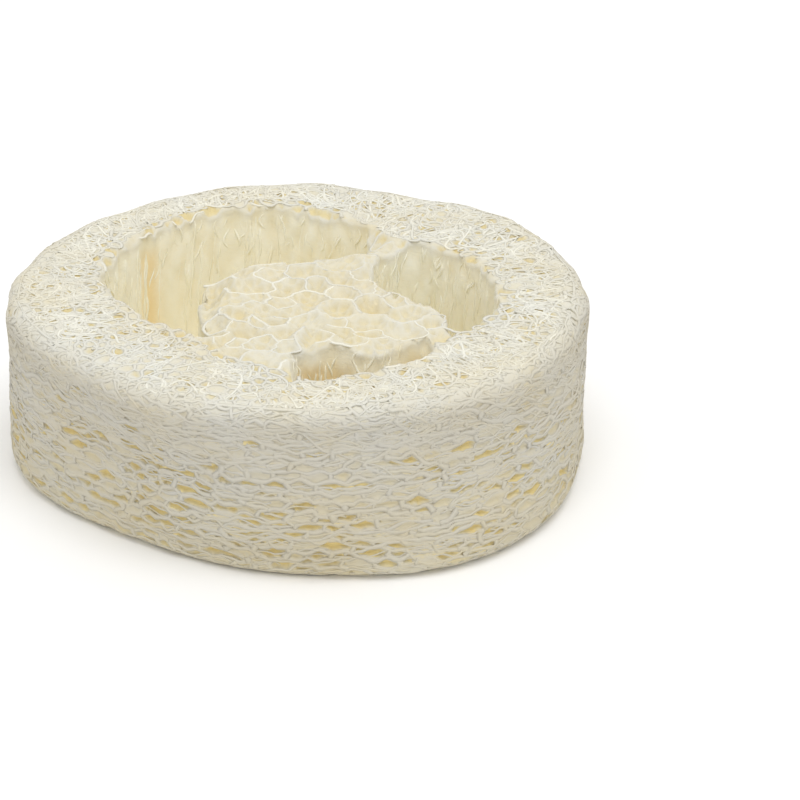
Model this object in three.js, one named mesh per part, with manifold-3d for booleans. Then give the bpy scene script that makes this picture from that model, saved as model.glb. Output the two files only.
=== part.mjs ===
// A slice cut across a dried loofah gourd, grown as one piece: a thick wall of netted
// fibre around three seed chambers, and a lacy core that reaches the wall at three
// places between them. Millimetres, +Z up, origin at the middle of the underside.
import * as THREE from "three";
import { mergeVertices } from "three/addons/utils/BufferGeometryUtils.js";
import Module from "manifold-3d";

// Driving dimensions
const DIAMETER = 59; // mean, across the wall
const HEIGHT = 19; // between the two cut faces
const RIM_ROUND = 1.2; // radius of the worn edge where a cut face meets the wall

// The gourd isn't quite round: each entry adds `depth` mm of bulge, `lobes` times round.
const OUTLINE_LOBES = [
  { lobes: 1, depth: 0.5, turn: 9 },
  { lobes: 2, depth: 0.6, turn: -30 },
  { lobes: 3, depth: 0.37, turn: 45 },
  { lobes: 4, depth: 0.25, turn: 4 },
  { lobes: 5, depth: 0.4, turn: 29 },
];

// Towards the underside the wall draws in on one side and swells a little beside it.
const FOOT_BULGES = [
  { depth: -2.6, turn: 247, width: 38 },
  { depth: 1.4, turn: 309, width: 17 },
];
const FOOT_EASE = 1.6; // how late the wall starts to leave the upright

// Lens-shaped gaps between the strands that cross on the wall, in staggered rows
const WALL_GAP = { rows: 6, columns: 24, length: 7.1, height: 3.3, depth: 1.7, wander: 0.16 };
const WALL_SEGMENTS = 48; // facets round the wall

// Gaps of the net on both cut faces, in rings from the rim inwards
const FACE_GAP = {
  pitch: 4.1, // between neighbours in a ring
  ringPitch: 3.55,
  radius: 1.7,
  spread: 0.12, // share by which one gap's radius differs from another's
  depth: 2.6,
  sides: 6,
  rim: 1.9, // from the worn edge to the outermost ring
  wander: 0.3,
};

// Each seed chamber's outline in plan, as points on a closed curve
const CHAMBERS = {
  large: [
    [5.6, 18.2], [-4.0, 22.2], [-11.5, 19.6], [-17.3, 13.8], [-20.4, 6.0], [-19.0, -1.2],
    [-14.6, -6.6], [-10.0, -9.4], [-9.6, -5.0], [-10.2, 0.6], [-9.0, 6.2], [-5.2, 10.0], [0.6, 10.6],
    [6.0, 11.4], [8.2, 14.4],
  ],
  right: [
    [7.6, 6.2], [11.0, 12.0], [15.4, 10.4], [19.6, 5.2], [20.8, -0.6], [20.0, -6.2], [17.6, -9.6],
    [15.6, -12.0], [15.0, -8.2], [14.2, -5.0], [11.4, -2.2], [8.2, 1.6],
  ],
  front: [
    [-0.5, -17.2], [0.7, -22.0], [4.3, -20.7], [7.3, -19.5], [10.3, -18.0], [13.2, -15.6], [13.0, -11.4],
    [10.6, -13.2], [7.0, -14.2], [3.4, -13.4], [0.4, -13.6],
  ],
};
const CHAMBER_RIB = { pitch: 2.4, depth: 0.5 }; // upright fibres that stand out of a chamber's wall

// Open cells that run through the core and its arms: place in plan and radius
const CORE_CELLS = [
  [-3.2, -17.2, 1.3], [-0.4, -9.8, 1.7], [3.9, -7.6, 1.9], [-4.0, -4.4, 2.1], [0.6, -3.6, 1.8],
  [-4.2, 1.6, 2.0], [-0.4, 1.6, 1.5], [1.0, 4.8, 1.4], [4.4, -0.8, 1.6], [4.6, 3.4, 1.6],
  [8.2, -5.0, 2.0], [11.6, -6.8, 1.6], [7.2, -10.4, 1.7], [5.4, 8.0, 1.5], [10.8, -10.2, 1.2],
  [-7.4, -1.8, 1.4], [-6.2, 6.0, 1.7], [-1.8, 8.0, 1.5], [-5.2, -9.2, 1.7],
];
const CELL_SIDES = 8;

// The soft core sits a little lower than the wall's upper face, in a shallow bowl.
const CORE_BOWL = { x: 1, y: -3, across: 37, depth: 0.8 };

const RANDOM_SEED = 20;
const FIBRE_COLOUR = 0xf0e8cc;
const OVERCUT = 2; // how far a cutter runs past the face that it opens
const FULL_TURN = 2 * Math.PI;

const wasm = await Module();
wasm.setup();

// A repeatable stream of numbers from 0 to 1
function randomStream(seed) {
  let state = seed;
  return () => {
    state = (state * 1664525 + 1013904223) % 4294967296;
    return state / 4294967296;
  };
}
const random = randomStream(RANDOM_SEED);
const jitter = (reach) => (random() * 2 - 1) * reach;
const radians = THREE.MathUtils.degToRad;

// A closed geometry as a solid that can be joined and cut
function solidOf(geometry) {
  const bare = geometry.clone();
  bare.deleteAttribute("normal");
  bare.deleteAttribute("uv");
  const merged = mergeVertices(bare, 1e-4);
  return new wasm.Manifold(
    new wasm.Mesh({
      numProp: 3,
      vertProperties: new Float32Array(merged.attributes.position.array),
      triVerts: new Uint32Array(merged.index.array),
    }),
  );
}

function geometryOf(solid) {
  const mesh = solid.getMesh();
  const geometry = new THREE.BufferGeometry();
  geometry.setAttribute("position", new THREE.BufferAttribute(mesh.vertProperties, 3));
  geometry.setIndex(new THREE.BufferAttribute(mesh.triVerts, 1));
  geometry.computeVertexNormals();
  return geometry;
}

// The wall's radius at a bearing (radians) and a height
function wallRadius(bearing, height) {
  const lobes = OUTLINE_LOBES.reduce(
    (sum, { lobes: count, depth, turn }) => sum + depth * Math.cos(count * (bearing - radians(turn))),
    0,
  );
  const foot = FOOT_BULGES.reduce((sum, { depth, turn, width }) => {
    const apart = Math.atan2(Math.sin(bearing - radians(turn)), Math.cos(bearing - radians(turn)));
    return sum + depth * Math.exp(-((apart / radians(width)) ** 2));
  }, 0);
  return DIAMETER / 2 + lobes + foot * (1 - height / HEIGHT) ** FOOT_EASE;
}

// The slice before anything is cut out of it: a disc with worn edges, bent to the outline
function blank() {
  const radius = DIAMETER / 2;
  const profile = new THREE.Path();
  profile.moveTo(0, 0);
  profile.lineTo(radius - RIM_ROUND, 0);
  profile.absarc(radius - RIM_ROUND, RIM_ROUND, RIM_ROUND, -Math.PI / 2, 0, false);
  profile.lineTo(radius, HEIGHT / 3);
  profile.absarc(radius - RIM_ROUND, HEIGHT - RIM_ROUND, RIM_ROUND, 0, Math.PI / 2, false);
  profile.lineTo(0, HEIGHT);
  const disc = new THREE.LatheGeometry(profile.getPoints(1), WALL_SEGMENTS).rotateX(Math.PI / 2);
  const place = disc.attributes.position;
  for (let i = 0; i < place.count; i++) {
    const bearing = Math.atan2(place.getY(i), place.getX(i));
    const bent = wallRadius(bearing, place.getZ(i)) / radius;
    place.setXY(i, place.getX(i) * bent, place.getY(i) * bent);
  }
  return solidOf(disc);
}

// Gaps of the net round the wall, each a lens that narrows inwards
function wallGapCutters() {
  const cutters = [];
  const rowPitch = (HEIGHT - 2 * RIM_ROUND) / WALL_GAP.rows;
  for (let row = 0; row < WALL_GAP.rows; row++) {
    for (let column = 0; column < WALL_GAP.columns; column++) {
      const place = column + (row % 2) / 2 + jitter(WALL_GAP.wander) / 2;
      const bearing = (place / WALL_GAP.columns) * FULL_TURN;
      const height = RIM_ROUND + (row + 0.5) * rowPitch + jitter(WALL_GAP.wander);
      const size = 1 + jitter(WALL_GAP.wander) / 2;
      const lens = new THREE.OctahedronGeometry(1);
      lens.scale(WALL_GAP.depth, (WALL_GAP.length / 2) * size, (WALL_GAP.height / 2) * size);
      lens.rotateX(jitter(WALL_GAP.wander) / 2);
      lens.translate(wallRadius(bearing, height), 0, height).rotateZ(bearing);
      cutters.push(solidOf(lens));
    }
  }
  return cutters;
}

// One seed chamber: a prism whose outline is ribbed by the upright fibres of its wall
function chamberCutter(points) {
  const curve = new THREE.CatmullRomCurve3(points.map(([x, y]) => new THREE.Vector3(x, y, 0)), true);
  const windsLeft = Math.sign(THREE.ShapeUtils.area(points.map(([x, y]) => ({ x, y }))));
  const steps = 2 * Math.round(curve.getLength() / CHAMBER_RIB.pitch);
  const outline = Array.from({ length: steps }, (_, step) => {
    const at = curve.getPointAt(step / steps);
    const along = curve.getTangentAt(step / steps);
    const rib = (step % 2) * CHAMBER_RIB.depth * windsLeft;
    return new THREE.Vector2(at.x - along.y * rib, at.y + along.x * rib);
  });
  const prism = new THREE.ExtrudeGeometry(new THREE.Shape(outline), {
    depth: HEIGHT + 2 * OVERCUT,
    bevelEnabled: false,
  });
  return solidOf(prism.translate(0, 0, -OVERCUT));
}

function coreCellCutter([x, y, radius]) {
  const cell = new THREE.CylinderGeometry(radius, radius, HEIGHT + 2 * OVERCUT, CELL_SIDES);
  return solidOf(cell.rotateX(Math.PI / 2).rotateZ(random() * Math.PI).translate(x, y, HEIGHT / 2));
}

function coreBowlCutter() {
  const bowl = new THREE.SphereGeometry(1, 24, 8).rotateX(Math.PI / 2);
  bowl.scale(CORE_BOWL.across / 2, CORE_BOWL.across / 2, CORE_BOWL.depth);
  return solidOf(bowl.translate(CORE_BOWL.x, CORE_BOWL.y, HEIGHT));
}

// How far the core's bowl lies below the upper face at a place in plan
function bowlDrop(x, y) {
  const reach = Math.hypot(x - CORE_BOWL.x, y - CORE_BOWL.y) / (CORE_BOWL.across / 2);
  return reach < 1 ? CORE_BOWL.depth * Math.sqrt(1 - reach ** 2) : 0;
}

// A gap in a cut face: a cone that opens outwards and crosses the face at the gap's radius
function faceGapCutter(x, y, face, outward) {
  const radius = FACE_GAP.radius * (1 + jitter(FACE_GAP.spread));
  const gap = new THREE.ConeGeometry(2 * radius, 2 * FACE_GAP.depth, FACE_GAP.sides);
  gap.rotateX((-outward * Math.PI) / 2).rotateZ(random() * Math.PI);
  return solidOf(gap.translate(x, y, face));
}

function faceGapCutters() {
  const cutters = [];
  const outermost = DIAMETER / 2 - RIM_ROUND - FACE_GAP.rim;
  for (let ring = 0; ring * FACE_GAP.ringPitch < outermost; ring++) {
    const radius = outermost - ring * FACE_GAP.ringPitch;
    const count = Math.round((FULL_TURN * radius) / FACE_GAP.pitch);
    for (let step = 0; step < count; step++) {
      const bearing = ((step + (ring % 2) / 2) / count) * FULL_TURN;
      for (const height of [0, HEIGHT]) {
        const reach = (radius * wallRadius(bearing, height)) / (DIAMETER / 2);
        const x = reach * Math.cos(bearing) + jitter(FACE_GAP.wander);
        const y = reach * Math.sin(bearing) + jitter(FACE_GAP.wander);
        const isUpper = height === HEIGHT;
        cutters.push(faceGapCutter(x, y, isUpper ? height - bowlDrop(x, y) : height, isUpper ? 1 : -1));
      }
    }
  }
  return cutters;
}

function loofahSlice() {
  const chambers = Object.values(CHAMBERS).map(chamberCutter);
  const cells = CORE_CELLS.map(coreCellCutter);
  const cut = wasm.Manifold.union([
    ...chambers,
    ...cells,
    coreBowlCutter(),
    ...wallGapCutters(),
    ...faceGapCutters(),
  ]);
  const bodies = blank().subtract(cut).decompose();
  const whole = bodies.reduce((largest, body) => (body.volume() > largest.volume() ? body : largest));
  const geometry = geometryOf(whole);
  geometry.computeBoundingBox();
  const middle = geometry.boundingBox.getCenter(new THREE.Vector3());
  return geometry.translate(-middle.x, -middle.y, 0);
}

const fibre = new THREE.MeshStandardMaterial({ color: FIBRE_COLOUR, roughness: 0.9, metalness: 0 });
const slice = new THREE.Mesh(loofahSlice(), fibre);
slice.name = "loofah_slice";

const loofah = new THREE.Group();
loofah.add(slice);

export default loofah;
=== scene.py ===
# %% [markdown]
# # A slice of natural loofah
# A loofah is the skeleton of a dried gourd. What looks like a sponge is one net of plant fibre that grew
# together: a thick wall of strands that run round the gourd, three chambers where the seeds lay, and a
# lacy core between them. A painted disc would do from afar, but real strands catch the light. So this lesson
# lays the net strand by strand over the measured solid, and then fills it with felt. The solid comes first,
# because all the rest is fitted to it.

# %% Load the measured solid
from collections import defaultdict, deque

import bmesh
import bpy
import numpy as np
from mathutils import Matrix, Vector
from mathutils.geometry import delaunay_2d_cdt
from mathutils.kdtree import KDTree


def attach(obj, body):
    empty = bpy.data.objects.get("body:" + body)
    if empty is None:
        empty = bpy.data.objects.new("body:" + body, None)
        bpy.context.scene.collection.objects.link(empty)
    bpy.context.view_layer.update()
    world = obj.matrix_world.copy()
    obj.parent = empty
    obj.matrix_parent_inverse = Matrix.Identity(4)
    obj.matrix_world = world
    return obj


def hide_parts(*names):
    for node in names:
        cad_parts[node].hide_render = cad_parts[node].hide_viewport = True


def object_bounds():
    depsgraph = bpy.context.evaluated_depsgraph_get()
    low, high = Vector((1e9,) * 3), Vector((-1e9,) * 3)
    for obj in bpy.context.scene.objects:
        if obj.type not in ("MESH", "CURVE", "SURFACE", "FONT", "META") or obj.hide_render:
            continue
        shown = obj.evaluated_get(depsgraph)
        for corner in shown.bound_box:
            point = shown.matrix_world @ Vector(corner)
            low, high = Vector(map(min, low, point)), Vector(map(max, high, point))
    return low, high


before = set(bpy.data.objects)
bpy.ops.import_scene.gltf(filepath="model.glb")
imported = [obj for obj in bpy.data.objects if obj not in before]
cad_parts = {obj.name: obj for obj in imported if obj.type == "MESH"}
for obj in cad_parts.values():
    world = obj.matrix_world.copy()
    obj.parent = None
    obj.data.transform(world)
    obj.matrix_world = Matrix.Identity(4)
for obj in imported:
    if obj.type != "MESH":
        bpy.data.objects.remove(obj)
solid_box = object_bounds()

MM = 0.001  # metres: the lesson thinks in mm and Blender in metres
TURN = 2 * np.pi
rng = np.random.default_rng(11)
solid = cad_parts["loofah_slice"]
HEIGHT = (solid_box[1][2] - solid_box[0][2]) / MM
REACH = solid_box[1][0] / MM  # mm from the middle to the wall
print(f"the slice is {HEIGHT:.1f} mm high")

# %% [markdown]
# The camera is set first, so that each test picture can be laid beside the photograph. A long lens from a
# little above the table keeps the rim's ellipse narrow. The lens could be shifted to put the slice left of
# the middle. The camera is turned a degree or so instead, so that the other views stay centred.

# %% Place the camera
CAMERA_RISE = np.radians(25.5)
CAMERA_REACH = 400  # mm from the slice
LENS, SENSOR = 172.6, 36  # mm
LOOKED_AT = np.array([0.49, -1.71, 9.5])  # mm, the middle of the slice
TURNED_RIGHT, TURNED_DOWN = 10.2, 2.4  # mm beside and below it, where the lens points

ahead = np.array([0, np.cos(CAMERA_RISE), -np.sin(CAMERA_RISE)])
above = np.array([0, np.sin(CAMERA_RISE), np.cos(CAMERA_RISE)])
eye = LOOKED_AT - CAMERA_REACH * ahead
target = LOOKED_AT + TURNED_RIGHT * np.array([1, 0, 0]) - TURNED_DOWN * above

lens = bpy.data.cameras.new("camera")
lens.lens = LENS
lens.sensor_width = SENSOR
camera = bpy.data.objects.new("camera", lens)
camera.location = Vector(eye * MM)
camera.rotation_euler = Vector(target - eye).to_track_quat("-Z", "Y").to_euler()
bpy.context.scene.collection.objects.link(camera)
bpy.context.scene.camera = camera
print(f"camera {CAMERA_REACH} mm away, {np.degrees(CAMERA_RISE):.1f} degrees up")

# %% [markdown]
# The strands have to lie where the solid is. They could be shrink-wrapped on to it, but a net is easier to
# draw in plan. A level cut through the solid gives closed loops: the largest is the outside of the wall, the
# next three are the seed chambers, and the rest are the open cells of the core.

# %% Cut the solid level and read its loops
CHAMBERS = 3
LOOP_STEP = 0.36  # mm between the points of an evened loop
LOOP_SOFTEN = 4  # points to either side that smooth it
WELD = 1e-7  # metres between corners that are one


def level_loops(height):
    """The loops (points in plan, mm) where a level plane cuts the solid, the largest first."""
    cut = bmesh.new()
    cut.from_mesh(solid.data)
    bmesh.ops.remove_doubles(cut, verts=cut.verts, dist=WELD)
    everything = cut.verts[:] + cut.edges[:] + cut.faces[:]
    plane = {"plane_co": (0, 0, height * MM), "plane_no": (0, 0, 1)}
    bmesh.ops.bisect_plane(cut, geom=everything, clear_inner=True, clear_outer=True, **plane)
    loops, seen = [], set()
    for start in cut.verts:
        loop, here = [], start
        while here and here not in seen:
            seen.add(here)
            loop.append(here.co[:2])
            here = next((n for e in here.link_edges if (n := e.other_vert(here)) not in seen), None)
        if len(loop) > 2:
            loops.append(np.array(loop) / MM)
    cut.free()
    return sorted(loops, key=lambda loop: abs(loop_area(loop)), reverse=True)


def loop_area(loop):
    """The area inside a loop, below zero where it runs clockwise."""
    x, y = loop.T
    return (np.dot(np.roll(x, 1), y) - np.dot(np.roll(y, 1), x)) / 2


def softened(values, reach):
    """Values round a loop, each the mean of those within reach steps of it."""
    return np.mean([np.roll(values, k, axis=0) for k in range(-reach, reach + 1)], axis=0)


def evened(loop):
    """The loop anticlockwise, evenly spaced, and smoothed over the solid's coarse ribs."""
    closed = np.vstack([loop, loop[:1]])[:: 1 if loop_area(loop) > 0 else -1]
    run = np.insert(np.cumsum(np.linalg.norm(np.diff(closed, axis=0), axis=1)), 0, 0)
    place = np.linspace(0, run[-1], round(run[-1] / LOOP_STEP), endpoint=False)
    even = np.column_stack([np.interp(place, run, closed[:, k]) for k in range(2)])
    return softened(even, LOOP_SOFTEN)


inside = level_loops(HEIGHT / 2)[1:]
chambers = [evened(loop) for loop in inside[:CHAMBERS]]
cells = inside[CHAMBERS:]
print("chambers of", [round(loop_area(c)) for c in chambers], "square mm and", len(cells), "core cells")

# %% [markdown]
# Round the slice every place has a bearing, so the outside of the wall and the outer side of the chambers
# each become a table of radius against bearing. A ray at each bearing would find a gap as often as a strand.
# The widest point near a bearing is on a strand, so that one is kept.

# %% Radius of the wall and of the chambers at each bearing
BEARINGS = 180  # steps of a table
BETWEEN = 8  # places looked at from one point of a loop to the next
WALL_SPREAD, WALL_SOFTEN, CHAMBER_SOFTEN = 4, 3, 2  # steps
SLICE_HEIGHTS = np.linspace(2, HEIGHT - 2, 7)  # mm, clear of the worn edges


def polar(flat):
    """Bearing and radius of places in plan."""
    return np.arctan2(flat[:, 1], flat[:, 0]), np.hypot(*flat.T)


def widest(loops, spread, soften):
    """The furthest radius of the loops at each bearing, spread over gaps and softened."""
    radius = np.zeros(BEARINGS)
    for loop in loops:
        between = np.linspace(0, 1, BETWEEN, endpoint=False)[:, None, None]
        dense = (loop + between * (np.roll(loop, -1, axis=0) - loop)).reshape(-1, 2)
        bearing, reach = polar(dense)
        np.maximum.at(radius, np.floor(bearing % TURN / TURN * BEARINGS).astype(int), reach)
    known = np.flatnonzero(radius)
    radius = np.interp(np.arange(BEARINGS), known, radius[known], period=BEARINGS)
    radius = np.max([np.roll(radius, k) for k in range(-spread, spread + 1)], axis=0)
    return softened(radius, soften)


wall_table = np.array([widest(level_loops(z)[:1], WALL_SPREAD, WALL_SOFTEN) for z in SLICE_HEIGHTS])
chamber_table = widest(chambers, 0, CHAMBER_SOFTEN)


def lookup(row, bearing):
    return np.interp(bearing % TURN, (np.arange(BEARINGS) + 0.5) / BEARINGS * TURN, row, period=TURN)


def wall_radius(bearing, height):
    rows = np.array([lookup(row, bearing) for row in wall_table])
    place = np.interp(np.full_like(bearing, height), SLICE_HEIGHTS, np.arange(len(SLICE_HEIGHTS)))
    low = np.minimum(np.floor(place), len(SLICE_HEIGHTS) - 2).astype(int)
    column = np.arange(len(low))
    return rows[low, column] + (place - low) * (rows[low + 1, column] - rows[low, column])


def chamber_radius(bearing):
    return lookup(chamber_table, bearing)


MEAN_RADIUS = wall_table.mean()
AROUND = TURN * MEAN_RADIUS  # mm once round the wall
print(f"wall radius {wall_table.min():.1f} to {wall_table.max():.1f} mm")

# %% [markdown]
# The wall and the two cut faces carry strands. Each has a function that turns places on it into points in
# space, with the direction out of it, and they share a worn, rounded edge. A displacement texture could make
# them uneven later. Here a sum of a few random waves swells them as they are made, so that strands and felt
# move together.

# %% The surfaces that strands lie on
EDGE_ROUND = 2.0  # mm, radius of the worn edge of the wall
CHAMBER_EDGE = 0.5  # mm, radius of the edge of a chamber
FOOT_LIFT = 0.1  # mm from the table to the lower face, whose strands touch it
FOOT_SHARE = 0.25  # share of the height over which the swelling sets in
RAGGED = 0.35  # mm that a chamber's outline strays
SWELL = 0.35  # mm that the surface swells and sinks
CORE_MIDDLE = np.array([1.0, -3.0])  # mm, deepest place of the sunken core
CORE_ACROSS, CORE_SINK = 37, 0.3  # mm, width and depth of the sunken core
CORE_SWELL = 0.4  # mm that the core's surface swells and sinks besides
CORE_LAP, CORE_BLEND = 0.8, 1.8  # mm that the core laps on to the ring, and over which it blends in
EDGE_FALL, EDGE_REACH = 1.3, 3.5  # mm that it falls towards the large chamber, and over what distance


def bumps(size, waves=8, gain=1.8):
    """A smooth function of places, from about -1 to 1, with bumps of about that size in mm."""
    way = rng.normal(size=(3, waves)) * TURN / size / np.sqrt(3)
    phase = rng.uniform(0, TURN, waves)
    return lambda at: np.sin(at @ way + phase).mean(axis=1) * gain


swelling, core_swelling, raggedness = bumps(9), bumps(5), bumps(2.4)


def smooth(share):
    """0 below 0, 1 above 1, and an even slope between."""
    share = np.clip(share, 0, 1)
    return share * share * (3 - 2 * share)


def radial(bearing):
    return np.column_stack([np.cos(bearing), np.sin(bearing)])


def on_table(flat):
    """Places in plan as points in space at height 0."""
    return np.column_stack([flat, np.zeros(len(flat))])


def edge_drop(inset, radius):
    """How far a rounded edge has fallen away at a distance in from its side."""
    left = np.clip(radius - inset, 0, radius)
    return radius - np.sqrt(radius**2 - left**2)


def swollen(at, outward, depth):
    """The places moved to a depth below the surface, and by its swelling."""
    free = np.clip(at[:, 2] / HEIGHT / FOOT_SHARE, 0, 1)
    return at + outward * (SWELL * swelling(at) * free - depth)[:, None]


def on_wall(bearing, height, depth):
    """Places on the wall at a depth below its surface, and the directions out of it."""
    lean = np.clip(1 - np.minimum(height, HEIGHT - height) / EDGE_ROUND, 0, 1)
    level = np.sqrt(1 - lean**2)
    side = np.sign(height - HEIGHT / 2)
    outward = np.column_stack([radial(bearing) * level[:, None], side * lean])
    radius = wall_radius(bearing, height) - EDGE_ROUND * (1 - level)
    at = np.column_stack([radial(bearing) * radius[:, None], height])
    return swollen(at, outward, depth), outward


def over_core(flat):
    """0 on the ring, 1 well inside it."""
    bearing, radius = polar(flat)
    return smooth((chamber_radius(bearing) + CORE_LAP - radius) / CORE_BLEND)


def to_chamber(flat, loops):
    """Distance from places in plan to the nearest chamber, by every second point of its loop."""
    return np.min([np.linalg.norm(flat[:, None] - loop[::2], axis=2).min(axis=1) for loop in loops], axis=0)


def sunk(flat):
    """How far the upper face lies below the rim over the core."""
    reach = np.linalg.norm(flat - CORE_MIDDLE, axis=1) / (CORE_ACROSS / 2)
    bowl = CORE_SINK * np.sqrt(np.clip(1 - reach**2, 0, 1))
    core = over_core(flat)
    inner = flat[core > 0]
    fall = EDGE_FALL * smooth(1 - to_chamber(inner, chambers[:1]) / EDGE_REACH)
    bowl[core > 0] += core[core > 0] * (fall + CORE_SWELL * core_swelling(on_table(inner)))
    return bowl


def from_rim(flat, upper):
    """Distance in plan from the outside of the wall in to places on a cut face."""
    bearing, radius = polar(flat)
    return wall_radius(bearing, HEIGHT if upper else 0) - radius


def on_face(flat, depth, upper):
    """Places on a cut face at a depth below its surface, and the directions out of it."""
    bearing, _ = polar(flat)
    inset = from_rim(flat, upper)
    lean = np.clip(1 - inset / EDGE_ROUND, 0, 1)
    side = 1 if upper else -1
    outward = np.column_stack([radial(bearing) * lean[:, None], side * np.sqrt(1 - lean**2)])
    drop = edge_drop(inset, EDGE_ROUND) + (sunk(flat) if upper else 0)
    height = HEIGHT - drop if upper else FOOT_LIFT + drop
    return swollen(np.column_stack([flat, height]), outward, depth), outward


def loop_outward(loop):
    """The directions out of an anticlockwise loop at each of its points."""
    along = np.roll(loop, -1, axis=0) - np.roll(loop, 1, axis=0)
    return np.column_stack([along[:, 1], -along[:, 0]]) / np.linalg.norm(along, axis=1, keepdims=True)


def ragged_loop(loop):
    """The loop with its outline moved in and out a little, as torn fibre is."""
    return loop + loop_outward(loop) * RAGGED * raggedness(on_table(loop))[:, None]


chambers = [ragged_loop(loop) for loop in chambers]
print("the surfaces of wall, faces and chambers are ready")

# %% [markdown]
# Dry loofah is ivory on top, and yellower down in a gap, where the yellow is painted shade. The upright
# outside is a shade greyer than the cut faces, partly weathering and partly painted shade of sides that get
# less light. The thin skin of the chambers is cream, lightened with painted light, and tan in a few listed
# corners. Each could be a material, but on the real slice they run into each other. So each point carries
# its own mix.

# %% Colours of the fibre
IVORY = np.array([0.738, 0.727, 0.657])
# weathered grey, darkened further as painted shade of the upright sides that get less light
WEATHERED_SHADE = np.array([0.585, 0.565, 0.502])
# straw yellow: the fibre's own tone along a strand, and painted shade where it deepens down in gaps, cells,
# grooves and towards the foot
STRAW_AND_SHADE = np.array([0.76, 0.64, 0.32])
# pale cream; in the chambers it lightens the skin and fibres as painted light
CREAM_LIGHTENED = np.array([0.955, 0.95, 0.855])
TAN = np.array([0.9, 0.72, 0.4])
SIDE_SHADE_POWER = 1.5  # how soon the weathering and painted side shade set in round the worn edge


def tint(first, second, share):
    """Colours a share of the way from the first to the second."""
    share = np.clip(share, 0, 1)[:, None]
    return first + share * (second - first)


def ivory_or_shaded_weathered(outward):
    """Ivory where the surface faces up or down, as a cut face does, and else weathered grey darkened with
    painted shade, more so the more it faces sideways.
    """
    return tint(WEATHERED_SHADE, IVORY, np.abs(outward[:, 2]) ** SIDE_SHADE_POWER)


print("five colours of fibre")

# %% [markdown]
# A strand is a line of points. Bevelled curves would make tubes of them, but round ones, and thousands of
# curves are slow. Here the points of all strands sit in one long array, and a second array says which strand
# each belongs to. Curves, lengths and flattened tubes then come from whole-array sums.

# %% Strands as long arrays
SIDES = 5  # corners round a strand
CORNER_TURN = 0.25  # share of a step that turns one of five corners to the top
nets = {}  # points with half widths, and strand numbers, of each piece


def neighbours(strand):
    """Index of the point before and after each, itself at a strand's end, and which are first and last."""
    here = np.arange(len(strand))
    change = strand[1:] != strand[:-1]
    first, last = np.insert(change, 0, True), np.append(change, True)
    return np.where(first, here, here - 1), np.where(last, here, here + 1), first, last


def rounded(at, strand, steps):
    """The same strands as smooth curves through their points, with a number of steps between points."""
    before, after, _, last = neighbours(strand)
    count = np.where(last, 1, steps)
    point = np.repeat(np.arange(len(strand)), count)
    t = (np.arange(count.sum()) - np.repeat(np.cumsum(count) - count, count))[:, None] / steps
    a, b, c, d = at[before[point]], at[point], at[after[point]], at[after[after[point]]]
    curve = 2 * b + (c - a) * t + (2 * a - 5 * b + 4 * c - d) * t**2 + (3 * b - a - 3 * c + d) * t**3
    return curve / 2, strand[point]


def measured(at, strand):
    """Distance from each point to the start and to the end of its own strand."""
    before, _, first, last = neighbours(strand)
    run = np.cumsum(np.linalg.norm(at - at[before], axis=1))
    return run - run[first][strand], run[last][strand] - run


def unit(vectors):
    return vectors / np.maximum(np.linalg.norm(vectors, axis=1, keepdims=True), 1e-9)


def shown(name, places, faces, colours):
    """A smooth-shaded object from places in mm, with a colour at each place."""
    mesh = bpy.data.meshes.new(name)
    mesh.from_pydata(places * MM, [], faces)
    mesh.shade_smooth()
    painted = np.column_stack([colours, np.ones(len(colours))]).ravel()
    mesh.attributes.new("tint", "FLOAT_COLOR", "POINT").data.foreach_set("color", painted)
    piece = bpy.data.objects.new(name, mesh)
    bpy.context.scene.collection.objects.link(piece)
    print(f"{name}: {sum(len(face) - 2 for face in faces)} triangles")
    return piece


def swept(name, at, strand, outward, half_width, flatness, colours):
    """One mesh of closed tubes along the strands, flattened against their surface, one corner on top."""
    nets[name] = np.column_stack([at, half_width]), strand
    before, after, first, last = neighbours(strand)
    along = unit(at[after] - at[before])
    side = unit(np.cross(along, outward))
    out = np.cross(side, along)
    turn = (np.arange(SIDES) + CORNER_TURN) / SIDES * TURN
    ring = np.cos(turn)[:, None] * (side * half_width[:, None])[:, None]
    ring = ring + np.sin(turn)[:, None] * (out * (half_width * flatness)[:, None])[:, None]
    corner = np.arange(len(at) * SIDES).reshape(-1, SIDES)
    joined = np.flatnonzero(~last)
    here, there = corner[joined], corner[joined + 1]
    quads = np.stack([here, there, np.roll(there, -1, axis=1), np.roll(here, -1, axis=1)], axis=2)
    faces = quads.reshape(-1, 4).tolist() + corner[first].tolist() + corner[last][:, ::-1].tolist()
    return shown(name, (at[:, None] + ring).reshape(-1, 3), faces, np.repeat(colours, SIDES, axis=0))


print("strands can be rounded, measured and swept")

# %% [markdown]
# The fibres of a loofah split and join again, which leaves gaps ringed by strands. A Voronoi texture looks
# like that, but it gives no lines to sweep. So scatter points, one for each gap, and join them into
# triangles: the lines between the middles of neighbouring triangles run round the points. At each crossing
# two of the three lines carry on as one strand and the third ends, so the net is no honeycomb.

# %% A net of strands round scattered gaps
ROW_SHARE = 0.87  # pitch of staggered rows as a share of the pitch along them
MERGED = 1e-6  # mm between points that are one
STRAIGHT = 0.2  # lines join where the cosine between them is below minus this
NET_STEPS = 3  # steps of a strand between two crossings
KNOT = 0.35  # how much thicker a strand is where it joins another


def scattered(low, high, pitch, jitter):
    """Points in a box on a staggered grid that has been shaken. pitch is across and up."""
    columns = np.arange(low[0], high[0], pitch[0])
    rows = np.arange(low[1], high[1], pitch[1])
    x, y = np.meshgrid(columns, rows)
    x = x + (np.arange(len(rows)) % 2)[:, None] * pitch[0] / 2
    points = np.column_stack([x.ravel(), y.ravel()])
    return points + rng.uniform(-jitter, jitter, points.shape) * pitch


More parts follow.
